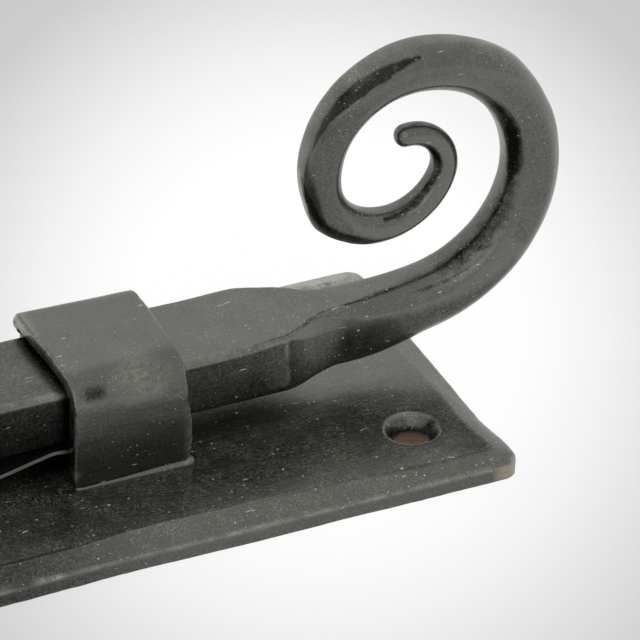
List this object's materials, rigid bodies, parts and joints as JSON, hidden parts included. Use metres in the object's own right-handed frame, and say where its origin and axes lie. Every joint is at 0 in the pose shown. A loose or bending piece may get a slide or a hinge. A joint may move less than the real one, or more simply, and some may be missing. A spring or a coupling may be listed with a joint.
{
  "type": "door bolt",
  "caption": "Hand-forged surface door bolt: flat bar with a scrolled tail sliding in strap staples on a bevelled back plate.",
  "frame": {"origin": "centre of the plate's back face, where the bolt lies on the door", "axes": "+X along the bolt towards its scroll, +Z off the door, +Y across the plate"},
  "size_m": [0.1848, 0.044, 0.0465],
  "materials": {
    "plate_iron": "blackened and waxed, satin, dusty",
    "strap_iron": "blackened and waxed, satin",
    "bar_iron": "blackened and waxed, satin, worn on edges",
    "spring_steel": "blued, rubbed bright on its edges"
  },
  "bodies": {
    "plate": {"backplate": "plate_iron", "tail_staple": "strap_iron", "nose_staple": "strap_iron", "leaf_spring": "spring_steel"},
    "bolt": {"bolt_bar": "bar_iron", "stop_pin": "bar_iron"}
  },
  "joints": [
    {"name": "bolt_slide", "type": "slide", "parent": "plate", "child": "bolt", "axis": [1, 0, 0], "range_m": [-0.01, 0.0411]}
  ]
}
